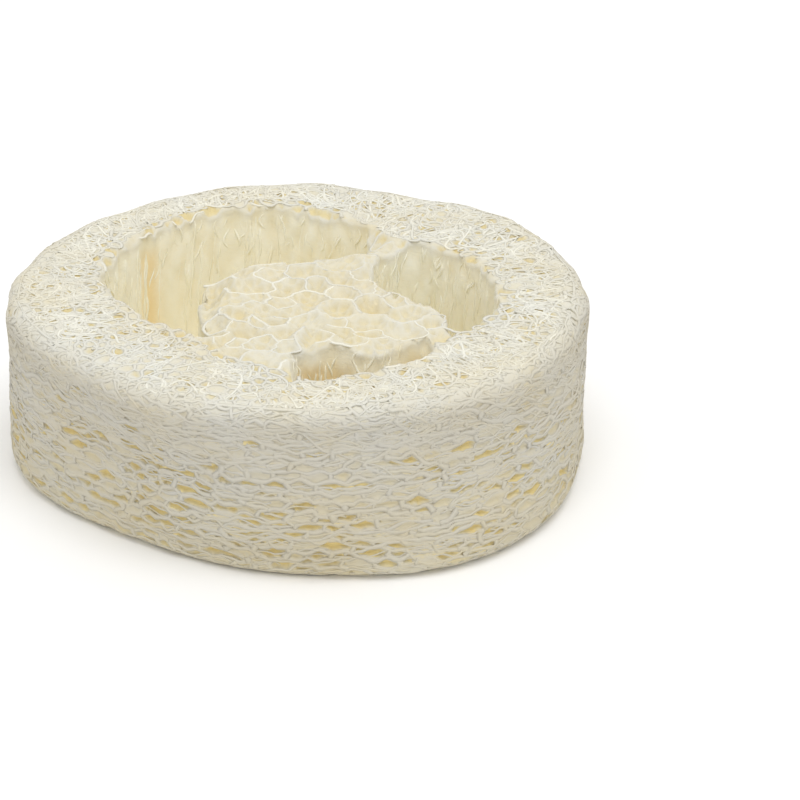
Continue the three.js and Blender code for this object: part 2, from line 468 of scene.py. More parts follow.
def scattered_square(reach, pitch, jitter):
    """Scattered points in a square that reaches as far to each side of the middle."""
    return scattered((-reach, -reach), (reach, reach), (pitch, pitch * ROW_SHARE), jitter)


def triangulated(flat, edges):
    """Points in plan, and the triangles between them, which keep to the edges."""
    points, _, triangles, *_ = delaunay_2d_cdt([Vector(place) for place in flat], edges, [], 0, MERGED)
    return np.array(points), np.array(triangles)


def net_round(points, stretch=1):
    """Corners and links of the net round the points, whose gaps are stretched lengthways."""
    flat, triangles = triangulated(points / (stretch, 1), [])
    corners = flat[triangles].mean(axis=1) * (stretch, 1)
    sides = np.sort(triangles[:, [[0, 1], [1, 2], [2, 0]]].reshape(-1, 2), axis=1)
    owner = np.repeat(np.arange(len(triangles)), 3)
    order = np.lexsort(sides.T)
    shared = (sides[order][1:] == sides[order][:-1]).all(axis=1)
    return corners, np.column_stack([owner[order][:-1][shared], owner[order][1:][shared]])


def followed(corners, links):
    """The links joined end to end, straight on at each crossing: points and strand numbers."""
    spokes = defaultdict(list)
    for number, (a, b) in enumerate(links):
        spokes[a].append((number, b))
        spokes[b].append((number, a))
    onward = {}
    for corner, met in spokes.items():
        way = unit(np.array([corners[far] - corners[corner] for _, far in met]))
        facing = way @ way.T
        i, j = np.unravel_index(facing.argmin(), facing.shape)
        if facing[i, j] < -STRAIGHT:
            onward[met[i][0], corner] = met[j][0]
            onward[met[j][0], corner] = met[i][0]
    runs, used = [], set()
    for number, (a, b) in enumerate(links):
        if number in used:
            continue
        used.add(number)
        run = deque([a, b])
        for corner, grow in ((b, run.append), (a, run.appendleft)):
            link = onward.get((number, corner))
            while link is not None and link not in used:
                used.add(link)
                corner = links[link].sum() - corner
                grow(corner)
                link = onward.get((link, corner))
        runs.append(list(run))
    return corners[np.concatenate(runs)], np.repeat(np.arange(len(runs)), [len(run) for run in runs])


def laid(count, low, high, step):
    """Strand numbers and distances along loose strands of low to high length."""
    points = np.ceil(rng.uniform(low, high, count) / step).astype(int) + 1
    strand = np.repeat(np.arange(count), points)
    return strand, (np.arange(points.sum()) - np.repeat(np.cumsum(points) - points, points)) * step


def waving(distance, strand, wavelength):
    """A wave along each strand, from -1 to 1, with its own phase and pace."""
    phase = rng.uniform(0, TURN, strand[-1] + 1)[strand]
    pace = rng.uniform(0.7, 1.4, strand[-1] + 1)[strand]
    return np.sin(distance * pace * TURN / wavelength + phase)


def own(strand, low, high):
    """A value that differs from strand to strand."""
    return rng.uniform(low, high, strand[-1] + 1)[strand]


def uneven(distance, strand, half_width, share, wavelength):
    """Half widths that differ from strand to strand, and by a share along each."""
    return own(strand, *half_width) * (1 + share * waving(distance, strand, wavelength))


def knotted(gone, left, reach):
    """How much thicker a strand is near its two ends, where it joins another."""
    return 1 + KNOT * np.exp(-np.minimum(gone, left) / reach)


print("the net tools are ready")

# %% [markdown]
# The outside of the gourd is a mat of flat bands that run round it. A bump map would hint at them, but the
# gaps need real relief. One net of bands outlines long low cells. Many cells are open gaps, fewer of them in
# the dense band under the upper edge, and felt closes the rest. Thinner strands wander over the bands. Each
# strand is sunk until only its back shows, because real ones grow into the felt and cast no shadow on it.

# %% The wall of bands that run round the gourd
WALL_PITCH = (AROUND / round(AROUND / 2.6), 1.08)  # mm between cells along and up the wall
WALL_JITTER = 0.44  # share of the pitch that a cell strays
WALL_OPEN = 0.6  # share of open cells on the lower wall
DENSE_FROM, DENSE_OVER = 0.5, 0.3  # shares of the height where the dense band begins, and fades in
DENSE_SHUT = 0.85  # share of the open cells that it closes
PATCHY = 0.5  # how many more or fewer are open in patches, as a share
CLOSED = (0.05, 0.35)  # how open a closed cell still is
STEEP, PARTED = 0.6, 0.25  # slope of the links that come apart, and share that have
NET_CLEAR, BAND_CLEAR = 0.2, 0.15  # mm that net and bands keep from the edges
BAND_WAVE = (0.1, 1.9)  # mm, height and length of the bands' waves
RUNNER_STEP = 0.6  # mm between the points of a loose strand
RUNNER_WAVES = ((0.3, 7), (0.1, 2.5))  # mm, height and length of its waves
RUNNER_FOOT, RUNNER_TOP = 0.25, 0.1  # mm that it keeps from the lower and the upper edge
RUNNER_STRAW = (-0.1, 0.15)  # how yellow it is, nothing below 0
BAND_FLAT, RUNNER_FLAT = 0.26, 0.4  # height of a strand as a share of its width
FOOT_SHADE = 0.2  # how much yellower the strands are at the foot, painted shade near the table
FELT_SUNK, RIDGE_SUNK = 0.16, 0.05  # mm that the felt lies below the surface, and at a strand

patches = bumps(11)


def opened(at, share):
    """How open each cell is: 1 for a share of them, and less where felt closes it."""
    gap = rng.random(len(at)) < share * (1 + PATCHY * patches(at))
    return np.where(gap, 1, rng.uniform(*CLOSED, len(at)))


def search_tree(points):
    """A tree that finds the nearest of the points."""
    tree = KDTree(len(points))
    for number, point in enumerate(points):
        tree.insert(point, number)
    tree.balance()
    return tree


def nearest(points, values):
    """A function of places in plan that gives the value at the nearest point."""
    tree = search_tree(on_table(points))
    return lambda places: values[[tree.find(place)[1] for place in on_table(places)]]


def wall_cells():
    """Middles of the wall's cells, also a turn before and after, and how open each is."""
    low, high = (0, -WALL_PITCH[1]), (AROUND - WALL_PITCH[0] / 2, HEIGHT + 2 * WALL_PITCH[1])
    middles = scattered(low, high, WALL_PITCH, WALL_JITTER)
    height = np.clip(middles[:, 1], 0, HEIGHT)
    at, _ = on_wall(middles[:, 0] / MEAN_RADIUS, height, 0)
    share = WALL_OPEN * (1 - DENSE_SHUT * smooth((height / HEIGHT - DENSE_FROM) / DENSE_OVER))
    open_cell = opened(at, share)
    return np.vstack([middles + (seam * AROUND, 0) for seam in (-1, 0, 1)]), np.tile(open_cell, 3)


def bedded(half_height, share):
    """Depth of a strand's middle, so that the felt covers it up to a share of its half height."""
    return RIDGE_SUNK + share * half_height


def wall_colours(outward, height, strand, straw):
    # yellower towards the foot: painted shade near the table
    foot = FOOT_SHADE * (1 - height / HEIGHT) ** 2
    return tint(ivory_or_shaded_weathered(outward), STRAW_AND_SHADE, own(strand, *straw) + foot)


def wall_net(name, middles, half_width, cover, straw):
    """The bands round the wall's cells. Some of the steep links have come apart."""
    corners, links = net_round(middles, WALL_PITCH[0] / WALL_PITCH[1])
    ends = corners[links]
    middle = ends.mean(axis=1)[:, 0]
    within = ((ends[:, :, 1] > NET_CLEAR) & (ends[:, :, 1] < HEIGHT - NET_CLEAR)).all(axis=1)
    within &= (middle >= 0) & (middle < AROUND)
    across = np.abs(np.diff(ends, axis=1)[:, 0])
    parted = (across[:, 1] > STEEP * across[:, 0]) & (rng.random(len(links)) < PARTED)
    flat, strand = rounded(*followed(corners, links[within & ~parted]), NET_STEPS)
    gone, left = measured(flat, strand)
    height = flat[:, 1] + BAND_WAVE[0] * waving(gone, strand, BAND_WAVE[1])
    height = np.clip(height, BAND_CLEAR, HEIGHT - BAND_CLEAR)
    width = uneven(gone, strand, half_width, 0.2, 3) * knotted(gone, left, 0.6)
    deep = bedded(BAND_FLAT * width, own(strand, *cover))
    at, outward = on_wall(flat[:, 0] / MEAN_RADIUS, height, deep)
    return swept(name, at, strand, outward, width, BAND_FLAT, wall_colours(outward, height, strand, straw))


def wall_runners(name, count, lengths, heights, half_width, cover, slope=0.12):
    """Loose strands that wander over the net. cover is the range of shares that the felt covers."""
    strand, along = laid(count, *lengths, RUNNER_STEP)
    height = own(strand, *heights) + own(strand, -slope, slope) * along
    for rise, wavelength in RUNNER_WAVES:
        height = height + rise * waving(along, strand, wavelength)
    height = np.clip(height, RUNNER_FOOT, HEIGHT - RUNNER_TOP)
    width = uneven(along, strand, half_width, 0.25, 4)
    deep = bedded(RUNNER_FLAT * width, own(strand, *cover))
    at, outward = on_wall((own(strand, 0, AROUND) + along) / MEAN_RADIUS, height, deep)
    colours = wall_colours(outward, height, strand, RUNNER_STRAW)
    return swept(name, at, strand, outward, width, RUNNER_FLAT, colours)


wall_middles, wall_open_cells = wall_cells()
wall_open = nearest(wall_middles / WALL_PITCH, wall_open_cells)
pieces = [
    wall_net("wall_bands", wall_middles, half_width=(0.17, 0.32), cover=(-0.1, 0.6), straw=(-0.05, 0.08)),
    wall_runners("wall_runners", 110, (8, 30), (0.4, HEIGHT - 0.4), (0.14, 0.26), cover=(0.1, 0.7)),
    wall_runners("wall_fine_strands", 500, (3, 12), (0.3, HEIGHT - 0.3), (0.08, 0.15), cover=(0.1, 0.7)),
    wall_runners("rim_strands", 600, (2, 8), (HEIGHT - 4, HEIGHT), (0.08, 0.18), (-0.3, 0.5), slope=0.6),
]

# %% [markdown]
# A blade left the two cut faces level, and there the net is seen end on: finer strands that run every way
# round small gaps. It could be modelled in depth, but a net made flat and then laid on the face shows the
# same. Looser strands turn back at the edges of the ring, so that none runs along an edge like a hem.

# %% The nets on the two cut faces
FACE_PITCH = 1.45  # mm between the gaps of a cut face
FACE_JITTER = 0.45  # share of the pitch that a gap strays
FACE_OPEN = 0.55  # share of the gaps that are open
FACE_FLAT = 0.38  # height of a strand as a share of its width
RING_CLEAR = 0.3  # mm that the ring's net keeps from its edges
TURN_INNER, TURN_OUTER = (0.4, 2.5), (0.6, 3)  # mm from chambers and rim where a loose strand turns back
LOOSE_STEP = 0.4  # mm between its points


def in_ring(flat, upper):
    """Which places in plan lie on the ring between the chambers and the rim."""
    bearing, radius = polar(flat)
    return (from_rim(flat, upper) > RING_CLEAR) & (radius - chamber_radius(bearing) > RING_CLEAR)


def face_cells(pitch):
    return scattered_square(REACH + pitch, pitch, FACE_JITTER)


def face_net(name, upper, middles, half_width, cover, straw):
    """The net over the ring of a cut face."""
    corners, links = net_round(middles)
    links = links[in_ring(corners, upper)[links].all(axis=1)]
    flat, strand = rounded(*followed(corners, links), NET_STEPS)
    gone, left = measured(flat, strand)
    width = uneven(gone, strand, half_width, 0.2, 2) * knotted(gone, left, 0.35)
    at, outward = on_face(flat, bedded(FACE_FLAT * width, own(strand, *cover)), upper)
    colours = tint(ivory_or_shaded_weathered(outward), STRAW_AND_SHADE, own(strand, *straw))
    return swept(name, at, strand, outward, width, FACE_FLAT, colours)


def face_runners(name, count, lengths, half_width, cover, pale):
    """Loose strands that wander over the upper ring, most of them roughly along it."""
    strand, along = laid(count, *lengths, LOOSE_STEP)
    heading = own(strand, -1.0, 1.0) + 0.4 * waving(along, strand, 6)
    bearing = own(strand, 0, TURN) + along * np.cos(heading) / MEAN_RADIUS
    inner = chamber_radius(bearing) + own(strand, *TURN_INNER)
    outer = wall_radius(bearing, HEIGHT) - own(strand, *TURN_OUTER)
    radius = own(strand, inner.min(), outer.max()) + along * np.sin(heading)
    share = (radius - inner) / (outer - inner)
    turned_back = np.abs((share + 1) % 2 - 1)
    flat = radial(bearing) * (inner + turned_back * (outer - inner))[:, None]
    width = uneven(along, strand, half_width, 0.25, 3)
    at, outward = on_face(flat, bedded(RUNNER_FLAT * width, own(strand, *cover)), True)
    colours = tint(ivory_or_shaded_weathered(outward), CREAM_LIGHTENED, own(strand, *pale))
    return swept(name, at, strand, outward, width, RUNNER_FLAT, colours)


ring_middles = face_cells(FACE_PITCH)
ring_places = np.column_stack([ring_middles, np.full(len(ring_middles), HEIGHT)])
ring_open = nearest(ring_middles, opened(ring_places, np.full(len(ring_middles), FACE_OPEN)))
pieces += [
    face_net("upper_face_strands", True, ring_middles, (0.14, 0.26), cover=(-0.1, 0.6), straw=(-0.05, 0.05)),
    face_runners("upper_face_runners", 380, (3, 12), (0.09, 0.18), cover=(-0.3, 0.5), pale=(0, 0.6)),
    face_net("lower_face_strands", False, ring_middles, (0.14, 0.26), cover=(0.1, 0.7), straw=(0.0, 0.2)),
]

# %% [markdown]
# The core is a froth of open cells of every size. A thin pale skin lines each cell, and a white strand runs
# along each cut edge. A boolean cut would leave hard rims, so the strands come first and the felt will sink
# between them. The solid's cells give the middles of the larger ones, and smaller ones fill the rest.

# %% The frothy core
CORE_PITCH, FROTH_PITCH = 2.5, 1.1  # mm between smaller cells, and between bubbles
CORE_JITTER = 0.5  # share of the pitch that a smaller cell strays
CORE_WHOLE = 0.85  # share of smaller cells, and of strands, that are there
CORE_ROOM = 0.9 * CORE_PITCH  # mm that they keep from the solid's cells
CORE_OVER = 1  # mm that the strands reach on to the ring
CORE_WAVE = 0.12  # mm that they stray
CORE_STEPS = 5  # steps of a strand between two crossings
CORE_FLAT = 0.6  # height of a strand as a share of its width


def within_loop(points, loop):
    """Which points lie inside a closed loop."""
    x, y = points.T
    a, b = loop, np.roll(loop, -1, axis=0)
    crosses = (a[:, 1][:, None] > y) != (b[:, 1][:, None] > y)
    slope = (b[:, 0] - a[:, 0]) / np.where(b[:, 1] == a[:, 1], 1e-9, b[:, 1] - a[:, 1])
    return (crosses & (x < a[:, 0][:, None] + (y - a[:, 1][:, None]) * slope[:, None])).sum(axis=0) % 2 == 1


def core_net(name, upper, middles, half_width, cover, pale):
    """A net over the core and its arms, with a gap at each of the middles."""
    corners, links = net_round(middles)
    bearing, radius = polar(corners)
    keep = radius < chamber_radius(bearing) + CORE_OVER
    for chamber in chambers:
        keep &= ~within_loop(corners, chamber)
    whole = rng.random(len(links)) < CORE_WHOLE
    flat, strand = rounded(*followed(corners, links[keep[links].all(axis=1) & whole]), CORE_STEPS)
    gone, left = measured(flat, strand)
    flat = flat + CORE_WAVE * np.column_stack([waving(gone, strand, 1.7), waving(gone, strand, 2.3)])
    width = own(strand, *half_width) * knotted(gone, left, 0.5)
    at, outward = on_face(flat, bedded(CORE_FLAT * width, own(strand, *cover)), upper)
    return swept(name, at, strand, outward, width, CORE_FLAT, tint(IVORY, CREAM_LIGHTENED, own(strand, *pale)))


def core_cells():
    """The middles of the solid's cells, and smaller cells where there is room between them."""
    large = np.array([cell.mean(axis=0) for cell in cells])
    small = scattered_square(chamber_table.max() + CORE_PITCH, CORE_PITCH, CORE_JITTER)
    clear = np.linalg.norm(small[:, None] - large, axis=2).min(axis=1) > CORE_ROOM
    return np.vstack([large, small[clear & (rng.random(len(small)) < CORE_WHOLE)]])


core_middles = core_cells()
froth_middles = face_cells(FROTH_PITCH)
pieces += [
    core_net("core_strands", True, core_middles, (0.1, 0.22), cover=(0.2, 0.9), pale=(0.0, 0.6)),
    core_net("core_lower_strands", False, core_middles, (0.1, 0.22), cover=(0.2, 0.9), pale=(0.1, 0.6)),
]

# %% [markdown]
# Between the strands lies felted fibre that is too fine to draw one by one, so it is a surface that follows
# the nets. A search tree tells how far each place is from the edge of the nearest strand. The felt rises to
# the strands in low ridges and sinks into the open cells, where painted shade makes it yellower. Bubbles
# dimple the core's.

# %% Depth and colour of the felt on wall and faces
WALL_GAP, RING_GAP, CORE_GAP, FROTH_GAP = 0.4, 0.4, 0.9, 0.35  # mm deeper in an open cell
RIDGE_REACH = 0.2  # mm from a strand over which the felt rises to it
GAP_LAP, GAP_FALL = 0.05, 0.3  # mm under a strand where a gap begins, and over which it falls
BAND_LAP, BAND_FALL = 0.08, 0.32  # mm, the same between the wall's bands
BAND_LAP_VARIES = 0.08  # mm by which that differs from place to place
RIM_FADE = 1.2  # mm inside the worn edge over which the ring's gaps set in
CELL_REACH, CELL_CLEAR = 1.2, 1.2  # mm from its rim, and a chamber, over which a cell deepens
FROTH_FALL = 0.35  # mm from its edge over which a bubble deepens
CELL_DEPTHS = (0.3, 1.2)  # how deep the core's cells are, as shares of the gap
STREAK, STREAK_STRETCH = 0.04, (0.3, 0.3, 1.6)  # mm of relief, and stretch, of the wall's level streaks
RING_STRAW, RING_GAP_SHADE = 0.06, 0.75  # how yellow the ring is, and how much more in a gap, as painted shade
WALL_STRAW, STREAK_SHADE, WALL_GAP_SHADE = 0.03, 0.05, 0.85  # the same for the wall, with painted shade in the sunken streaks and in a gap
CORE_STRAW, CELL_SHADE, FROTH_SHADE, PATCH_STRAW = 0.15, 0.22, 0.24, 0.1  # the same for the core, with painted shade down in its cells and bubbles, and patches


def distance_from(*names):
    """A function that gives the distance of places from the nearest strand's edge."""
    points = np.vstack([rounded(*nets[name], NET_STEPS)[0] for name in names])
    tree = search_tree(points[:, :3])

    def distance(at):
        found = [tree.find(place)[1:] for place in at]
        return np.array([away - points[number, 3] for number, away in found])

    return distance


def nearest_edge(points):
    """A function that gives the distance from the edge between the two nearest points."""
    tree = search_tree(on_table(points))

    def distance(places):
        pairs = np.array([[found[2] for found in tree.find_n(place, 2)] for place in on_table(places)])
        return (pairs[:, 1] - pairs[:, 0]) / 2

    return distance


from_bands = distance_from("wall_bands")
from_wall_strands = distance_from("wall_bands", "wall_runners", "wall_fine_strands", "rim_strands")
from_upper_strands = distance_from("upper_face_strands", "upper_face_runners", "core_strands")
from_upper_nets = distance_from("upper_face_strands", "core_strands")
from_lower_nets = distance_from("lower_face_strands", "core_lower_strands")
from_froth = nearest_edge(froth_middles)
core_deep = nearest(core_middles, rng.uniform(*CELL_DEPTHS, len(core_middles)))
rib, lump, patch, streak, gap_width = bumps(0.9), bumps(1.5), bumps(5), bumps(1.3), bumps(6)


def ridged(distance):
    """Depth of the felt at a distance from a strand, to which it rises in a low ridge."""
    return FELT_SUNK - (FELT_SUNK - RIDGE_SUNK) * np.exp(-((np.maximum(distance, 0) / RIDGE_REACH) ** 2))


def fallen(distance, lap=GAP_LAP, fall=GAP_FALL):
    """How far a gap has fallen at a distance from a strand: 0 under it, 1 clear of it."""
    return smooth((distance + lap) / fall)


def felt_face(flat, upper):
    """Places and colours of the felt on a cut face: small gaps in the ring, round cells in the core."""
    at, outward = on_face(flat, 0, upper)
    core = over_core(flat)
    from_net = (from_upper_nets if upper else from_lower_nets)(at)
    from_strand = from_upper_strands(at) if upper else from_net
    inside_rim = smooth((from_rim(flat, upper) - EDGE_ROUND) / RIM_FADE)
    gap = fallen(from_net) * ring_open(flat) * inside_rim
    cell = smooth(from_net / CELL_REACH) * core_deep(flat) * smooth(to_chamber(flat, chambers) / CELL_CLEAR)
    froth = smooth(from_froth(flat) / FROTH_FALL)
    deep = ridged(from_strand) + RING_GAP * gap * fallen(from_strand) * (1 - core)
    deep = deep + (CORE_GAP * cell + FROTH_GAP * froth * fallen(from_net, 0)) * core
    # yellower down in a gap of the ring: painted shade
    ring = tint(ivory_or_shaded_weathered(outward), STRAW_AND_SHADE, RING_STRAW + RING_GAP_SHADE * gap)
    # yellower down in the core's cells and bubbles: painted shade
    yellow = CORE_STRAW + CELL_SHADE * cell + FROTH_SHADE * froth + PATCH_STRAW * patch(at)
    return at - outward * deep[:, None], tint(ring, tint(IVORY, STRAW_AND_SHADE, yellow), core)


def felt_wall(bearing, height):
    """Places and colours of the felt on the wall: gaps between the bands, else level streaks."""
    at, outward = on_wall(bearing, height, 0)
    unrolled = np.column_stack([bearing * MEAN_RADIUS, height])
    inside_edges = smooth(np.minimum(height, HEIGHT - height) / EDGE_ROUND)
    lap = BAND_LAP - BAND_LAP_VARIES * gap_width(at)
    gap = fallen(from_bands(at), lap, BAND_FALL) * wall_open(unrolled / WALL_PITCH) * inside_edges
    fine = streak(at * STREAK_STRETCH)
    distance = from_wall_strands(at)
    deep = ridged(distance) + WALL_GAP * gap * fallen(distance) + STREAK * fine * (1 - gap)
    # yellower towards the foot, in the sunken streaks and down in a gap: painted shade
    yellow = WALL_STRAW + FOOT_SHADE * (1 - height / HEIGHT) + STREAK_SHADE * fine + WALL_GAP_SHADE * gap
    return at - outward * deep[:, None], tint(ivory_or_shaded_weathered(outward), STRAW_AND_SHADE, yellow)


print(len(nets), "nets tell the felt where to rise")

# %% [markdown]
# The seeds left chambers with a papery skin. A plain tube would look turned on a lathe, so the skin
# has low upright ribs, and lumps that grow towards the upper edge. Its cream is lightened with painted
# light, and painted shade makes it yellower where the ribs and lumps sink back. In a few listed corners it
# is tan.

# %% Depth and colour of the felt in the chambers
CHAMBER_BACK = 0.15  # mm that a chamber's skin lies behind its loop
RIBS, TOP_RIBS = 0.08, 0.08  # mm, height of the ribs, and what the top adds
LUMPS, TOP_LUMPS = 0.05, 0.13  # mm, the same for the lumps
TOP_FADE = 4  # mm over which that dies away
RIB_STRETCH = (1, 1, 0.12)  # makes the ribs upright
SKIN_FADE = 1.5  # mm over which the cut edge turns into skin, whose cream is lightened with painted light
SKIN_STRAW, RIB_SHADE_AND_PATCH = 0.12, 0.1  # how yellow the skin is, and how much more where ribs and lumps sink back, as painted shade, and in patches
# mm, place in plan and reach of the tan corners
TAN_SPOTS = [(-15.8, 15.3, 1.5), (2.0, -14.0, 3.6), (12.6, -12.0, 2.2), (16.6, -9.0, 2.4)]
TAN_FROM, TAN_FADE = 1.2, 3  # mm below the rim where it begins, and over which it sets in
TAN_SHARE = 0.8  # how tan the middle of a corner is


def chamber_back(flat, height, top, foot):
    """How far a chamber's skin lies behind its loop, and how much of that is ribs and lumps."""
    at = np.column_stack([flat, height])
    ribbed, lumpy = rib(at * RIB_STRETCH), lump(at)
    near_top = np.exp(-(top - height) / TOP_FADE)
    back = edge_drop(np.minimum(top - height, height - foot), CHAMBER_EDGE) + CHAMBER_BACK
    back = back + (RIBS + TOP_RIBS * near_top) * ribbed + (LUMPS + TOP_LUMPS * near_top) * lumpy
    return back, ribbed + lumpy


def felt_chamber(loop, top, foot, share):
    """Places and colours of the skin round a chamber, a share of the way down."""
    height = top + share * (foot - top)
    back, ribbed = chamber_back(loop, height, top, foot)
    at = np.column_stack([loop + loop_outward(loop) * back[:, None], height])
    # below the cut edge the skin turns to cream lightened with painted light
    skin = tint(IVORY, CREAM_LIGHTENED, smooth((top - height) / SKIN_FADE))
    # yellower where ribs and lumps sink back, as painted shade, and in random patches
    return at, tint(skin, STRAW_AND_SHADE, SKIN_STRAW + RIB_SHADE_AND_PATCH * ribbed + RIB_SHADE_AND_PATCH * patch(at))


def tanned(at):
    """How tan a place is: 1 in the listed corners, below their upper edge."""
    deep = smooth((HEIGHT - TAN_FROM - at[:, 2]) / TAN_FADE)
    return deep * sum(np.exp(-(((at[:, :2] - spot[:2]) / spot[2]) ** 2).sum(axis=1)) for spot in TAN_SPOTS)


print(len(TAN_SPOTS), "corners of the chambers are stained")

# %% [markdown]
# The felt of each cut face is a plan filled with small triangles. A square grid would end in stairs at the
# outlines. Here the outlines of rim and chambers are edges that the triangles keep to, and the points
# between them are scattered, more closely over the core.

# %% The plan between the rim and the chambers
RING_STEP, CORE_STEP = 0.27, 0.22  # mm between points of the felt
PLAN_JITTER = 0.1  # share of the step that a point strays
LOOP_CLEAR = 0.6 * CORE_STEP  # mm that the points keep from the outlines


def between_loops(points, loops):
    """Which points lie inside the first loop and outside all the others."""
    keep = within_loop(points, loops[0])
    for loop in loops[1:]:
        keep &= ~within_loop(points, loop)
    return keep


def plan_points(loops):
    """Places in plan between the loops, closer together over the core."""
    ring = scattered_square(REACH, RING_STEP, PLAN_JITTER)
    core = scattered_square(REACH, CORE_STEP, PLAN_JITTER)
    points = np.vstack([ring[over_core(ring) == 0], core[over_core(core) > 0]])
    points = points[between_loops(points, loops)]
    edges = np.vstack(loops)
    beside = nearest(edges, edges)(points)
    return points[np.linalg.norm(points - beside, axis=1) > LOOP_CLEAR]


def filled_plan(loops):
    """Places in plan, those of the loops first, and the triangles between them."""
    flat = np.vstack(loops + [plan_points(loops)])
    starts = np.cumsum([0] + [len(loop) for loop in loops])
    edges = []
    for start, loop in zip(starts, loops):
        edges += [(start + k, start + (k + 1) % len(loop)) for k in range(len(loop))]
    _, triangles = triangulated(flat, edges)
    return flat, triangles[between_loops(flat[triangles].mean(axis=1), loops)]


def at_foot(flat):
    """The plan stretched outside the chambers to the outline of the foot."""
    bearing, radius = polar(flat)
    inner, rim = chamber_radius(bearing), wall_radius(bearing, HEIGHT)
    share = np.clip((radius - inner) / (rim - EDGE_ROUND - inner), 0, 1)
    return flat * (1 + share * (wall_radius(bearing, 0) - rim) / radius)[:, None]


WALL_STEP = (0.23, 0.165)  # mm between points of the felt along the wall and up it
columns = round(AROUND / WALL_STEP[0])
bearings = np.arange(columns) / columns * TURN
rim_loop = radial(bearings) * (wall_radius(bearings, HEIGHT) - EDGE_ROUND)[:, None]
plan, plan_triangles = filled_plan([rim_loop] + [c + loop_outward(c) * CHAMBER_EDGE for c in chambers])
print(len(plan_triangles), "triangles fill the plan")

# %% [markdown]
# Rows of faces join the two cut faces along the wall and down each chamber. It could all be one mesh, but
# the wall takes as many triangles as the rest, so it is a piece of its own. The two share the points of the
# rim and the foot, and no seam shows.

# %% The felted body
ARC_ROWS = 10  # rows round a worn edge
CHAMBER_ENDS = np.array([0.008, 0.02, 0.035])  # shares of the height of rows near an edge
CHAMBER_ROWS = np.concatenate([CHAMBER_ENDS, np.linspace(0.06, 0.94, 44), 1 - CHAMBER_ENDS[::-1]])


def laddered(*rows):
    """Faces that join closed rows of point numbers, each to the next."""
    ladder = np.vstack(rows)
    onward = np.roll(ladder, -1, axis=1)
    return np.stack([ladder[:-1], ladder[1:], onward[1:], onward[:-1]], axis=2).reshape(-1, 4).tolist()


def numbered(rows, first):
    """Point numbers for rows of places and colours, counted on from the first."""
    return first + np.arange(len(rows) * len(rows[0][0])).reshape(len(rows), -1)


def facing_out(piece):
    """The piece with every face turned outwards."""
    turned = bmesh.new()
    turned.from_mesh(piece.data)
    bmesh.ops.recalc_face_normals(turned, faces=turned.faces)
    turned.to_mesh(piece.data)
    turned.free()
    return piece


def felted(name, layers, faces):
    """A piece of felt from layers of places and colours, tan in the listed corners."""
    places = np.vstack([place for place, _ in layers])
    colours = np.vstack([colour for _, colour in layers])
    return facing_out(shown(name, places, faces, tint(colours, TAN, TAN_SHARE * tanned(places))))


def felted_wall(top, foot):
    """The felt of the wall, between the first points of the two faces, which are its edges."""
    arc = EDGE_ROUND * (1 - np.cos(np.arange(1, ARC_ROWS + 1) / ARC_ROWS * np.pi / 2))
    straight = np.arange(HEIGHT - EDGE_ROUND - WALL_STEP[1], EDGE_ROUND, -WALL_STEP[1])
    heights = np.concatenate([HEIGHT - arc, straight, arc[::-1]])
    rows = [felt_wall(bearings, np.full(columns, height)) for height in heights]
    rows = [[part[:columns] for part in top], *rows, [part[:columns] for part in foot]]
    return felted("felted_wall", rows, laddered(numbered(rows, 0)))


def felted_faces(top, foot):
    """The felt of the two faces and of the chambers between them."""
    layers = [top, foot]
    faces = plan_triangles.tolist() + (plan_triangles + len(plan)).tolist()
    start, count = columns, 2 * len(plan)
    for loop in chambers:
        upper = np.arange(start, start + len(loop))
        start += len(loop)
        rows = [felt_chamber(loop, top[0][upper, 2], foot[0][upper, 2], share) for share in CHAMBER_ROWS]
        layers += rows
        numbers = numbered(rows, count)
        count += numbers.size
        faces += laddered(upper, numbers, upper + len(plan))
    return felted("felted_faces", layers, faces)


upper_felt, lower_felt = felt_face(plan, True), felt_face(at_foot(plan), False)
pieces += [felted_wall(upper_felt, lower_felt), felted_faces(upper_felt, lower_felt)]

# %% [markdown]
# Fine fibres run down the chamber walls, where the seeds hung, and short pale ends curl out near the top.
# Hair particles would do, but they are no mesh. Each fibre starts at a random place on a chamber's loop and
# follows the ribs and lumps down.

# %% The fibres of the chamber walls
FIBRE_LEAN = 0.1  # mm aside for each mm down
FIBRE_CURL_LENGTH = 4  # mm from one curl to the next
FIBRE_FOOT = 0.3  # mm above the table where the lowest fibres end
FIBRE_FLAT = 0.5  # height of a fibre as a share of its width
FIBRE_TIP, FIBRE_TAPER = 0.2, 0.6  # width of a tip as a share, and mm that it tapers over


def fibres_down(loop, per_mm, lengths, below, half_width, cover, curl, straw):
    """One chamber's fibres, a number to each mm round, that start at a distance below the top."""
    top = on_face(loop, 0, True)[0][:, 2]
    strand, along = laid(round(per_mm * len(loop) * LOOP_STEP), *lengths, lengths[0] / 4)
    start = own(strand, 0, len(loop))
    step = start + (FIBRE_LEAN * along + curl * waving(along, strand, FIBRE_CURL_LENGTH)) / LOOP_STEP
    table = np.column_stack([loop, loop_outward(loop), top]).T
    found = [np.interp(step, np.arange(len(loop)), row, period=len(loop)) for row in table]
    flat, behind, top = np.column_stack(found[:2]), np.column_stack(found[2:4]), found[4]
    height = np.maximum(top - own(strand, *below) - along, FIBRE_FOOT)
    gone, left = measured(along[:, None], strand)
    taper = FIBRE_TIP + (1 - FIBRE_TIP) * smooth(np.minimum(gone, left) / FIBRE_TAPER)
    width = own(strand, *half_width) * taper
    back, _ = chamber_back(flat, height, top, 0)
    back = back + own(strand, *cover) * FIBRE_FLAT * width
    at = np.column_stack([flat + behind * back[:, None], height])
    return at, strand, on_table(-behind), width, tint(CREAM_LIGHTENED, STRAW_AND_SHADE, own(strand, *straw))


